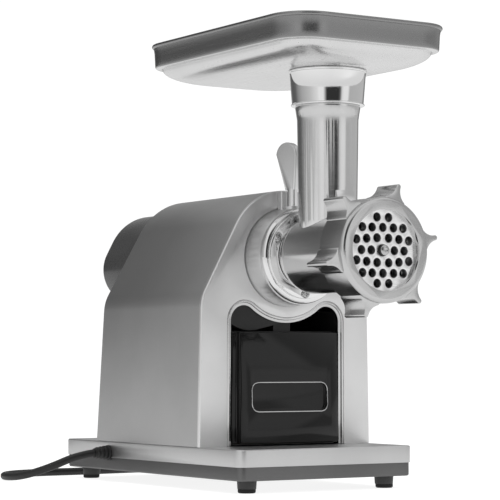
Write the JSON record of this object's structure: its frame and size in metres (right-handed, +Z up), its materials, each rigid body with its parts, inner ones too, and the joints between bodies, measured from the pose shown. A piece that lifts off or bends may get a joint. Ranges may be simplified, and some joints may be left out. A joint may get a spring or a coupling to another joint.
{
  "type": "electric meat grinder",
  "caption": "Countertop electric meat grinder: metal gear-driven body with a drawer, upright feed tube under a wide hopper tray, barrel with ribbed nut and hole plate, mains cord.",
  "frame": {"origin": "middle of the footprint's box at the feet's underside, mains cord left out", "axes": "+Z up; -Y towards the nut and hole plate; +X to the right as seen from the front"},
  "size_m": [0.2347, 0.4672, 0.3576],
  "materials": {
    "foot_rubber": "matte",
    "foot_plastic": "satin",
    "base_dark": "satin",
    "base_silver": "satin",
    "screw_steel": "satin",
    "body_silver": "satin",
    "panel_silver": "satin",
    "rim_bright": "polished",
    "rear_dark": "satin",
    "cover_dark": "gloss",
    "ring_polished": "polished",
    "head_polished": "polished",
    "nut_polished": "polished",
    "collar_polished": "polished",
    "tray_satin": "satin",
    "plate_steel": "satin",
    "knife_steel": "ground",
    "auger_metal": "cast",
    "shaft_steel": "machined",
    "gear_steel": "oiled",
    "bush_brass": "plain",
    "box_dark": "matte",
    "iron_core": "plain",
    "copper_wire": "enamelled",
    "bracket_zinc": "zinc",
    "holder_brown": "matte",
    "brush_carbon": "matte",
    "fan_plastic": "matte",
    "board_green": "matte",
    "switch_black": "matte",
    "power_red": "gloss",
    "reverse_grey": "gloss",
    "drawer_smoke": "gloss",
    "bin_plastic": "satin",
    "cord_black": "matte",
    "plug_black": "satin",
    "pin_nickel": "plain"
  },
  "bodies": {
    "root": {"foot_pads": "foot_rubber", "foot_posts": "foot_plastic", "base_tray": "base_dark", "base_deck": "base_silver", "base_screws": "screw_steel", "body_shell": "body_silver", "front_panel": "panel_silver", "drawer_bezel": "rim_bright", "rear_panel": "rear_dark", "rear_cover": "cover_dark", "mount_collar": "panel_silver", "mount_ring": "ring_polished", "flange_screws": "screw_steel", "gearbox_housing": "box_dark", "gearbox_cover": "box_dark", "gearbox_bracket": "box_dark", "gear_axles": "shaft_steel", "output_bush": "bush_brass", "motor_stator": "iron_core", "field_windings": "copper_wire", "motor_front_bracket": "bracket_zinc", "motor_rear_bracket": "bracket_zinc", "motor_bearings": "shaft_steel", "motor_bolts": "screw_steel", "brush_holders": "holder_brown", "carbon_brushes": "brush_carbon", "motor_cradle": "box_dark", "circuit_board": "board_green", "switch_panel": "switch_black", "switch_blocks": "switch_black", "strain_relief": "cord_black", "power_cord": "cord_black", "cord_coil": "cord_black", "plug_body": "plug_black", "plug_pins": "pin_nickel"},
    "head": {"head_casting": "head_polished", "feed_neck": "head_polished", "head_bush": "bush_brass", "cutting_plate": "plate_steel"},
    "auger": {"auger_screw": "auger_metal", "drive_tail": "shaft_steel", "cutting_knife": "knife_steel"},
    "ring_nut": {"ring_nut": "nut_polished"},
    "tray": {"tray_pan": "tray_satin", "tray_collar": "collar_polished"},
    "lock_screw": {"lock_screw": "ring_polished"},
    "drawer": {"drawer_front": "drawer_smoke", "drawer_bin": "bin_plastic"},
    "drive": {"output_gear": "gear_steel", "output_shaft": "shaft_steel"},
    "countershaft_1": {"countershaft_gear_1": "gear_steel"},
    "countershaft_2": {"countershaft_gear_2": "gear_steel"},
    "rotor": {"motor_shaft": "shaft_steel", "cooling_fan": "fan_plastic", "armature_core": "iron_core", "armature_winding": "copper_wire", "commutator": "copper_wire"},
    "power_button": {"power_button": "power_red"},
    "reverse_button": {"reverse_button": "reverse_grey"}
  },
  "joints": [
    {"name": "head_slide", "type": "slide", "parent": "root", "child": "head", "axis": [0, -1, 0], "range_m": [0, 0.1]},
    {"name": "auger_spin", "type": "hinge", "parent": "head", "child": "auger", "pos_m": [0, -0.1, 0.182], "axis": [0, -1, 0], "continuous": true},
    {"name": "nut_turn", "type": "hinge", "parent": "head", "child": "ring_nut", "pos_m": [0, -0.16, 0.182], "axis": [0, -1, 0], "range_deg": [0, 1080]},
    {"name": "tray_lift", "type": "slide", "parent": "head", "child": "tray", "axis": [0, 0, 1], "range_m": [0, 0.08]},
    {"name": "lock_turn", "type": "hinge", "parent": "root", "child": "lock_screw", "pos_m": [0, -0.053, 0.22], "axis": [0, 0, 1], "range_deg": [0, 720]},
    {"name": "drawer_slide", "type": "slide", "parent": "root", "child": "drawer", "axis": [0, -1, 0], "range_m": [0, 0.09]},
    {"name": "drive_spin", "type": "hinge", "parent": "root", "child": "drive", "pos_m": [0, -0.03, 0.182], "axis": [0, -1, 0], "continuous": true},
    {"name": "countershaft_1_spin", "type": "hinge", "parent": "root", "child": "countershaft_1", "pos_m": [0.00173, -0.01, 0.15966], "axis": [0, -1, 0], "continuous": true},
    {"name": "countershaft_2_spin", "type": "hinge", "parent": "root", "child": "countershaft_2", "pos_m": [-0.03251, -0.02, 0.1566], "axis": [0, -1, 0], "continuous": true},
    {"name": "rotor_spin", "type": "hinge", "parent": "root", "child": "rotor", "pos_m": [0, 0.05, 0.186], "axis": [0, -1, 0], "continuous": true},
    {"name": "power_press", "type": "slide", "parent": "root", "child": "power_button", "axis": [-1, 0, 0], "range_m": [0, 0.0025], "stiffness_N_per_m": 400, "springref_m": -0.001},
    {"name": "reverse_press", "type": "slide", "parent": "root", "child": "reverse_button", "axis": [-1, 0, 0], "range_m": [0, 0.0025], "stiffness_N_per_m": 400, "springref_m": -0.001}
  ],
  "couplings": [
    {"joint": "countershaft_2_spin", "follows": "drive_spin", "ratio": -4},
    {"joint": "countershaft_1_spin", "follows": "drive_spin", "ratio": 16},
    {"joint": "rotor_spin", "follows": "drive_spin", "ratio": -101.33},
    {"joint": "auger_spin", "follows": "drive_spin", "ratio": 1}
  ]
}
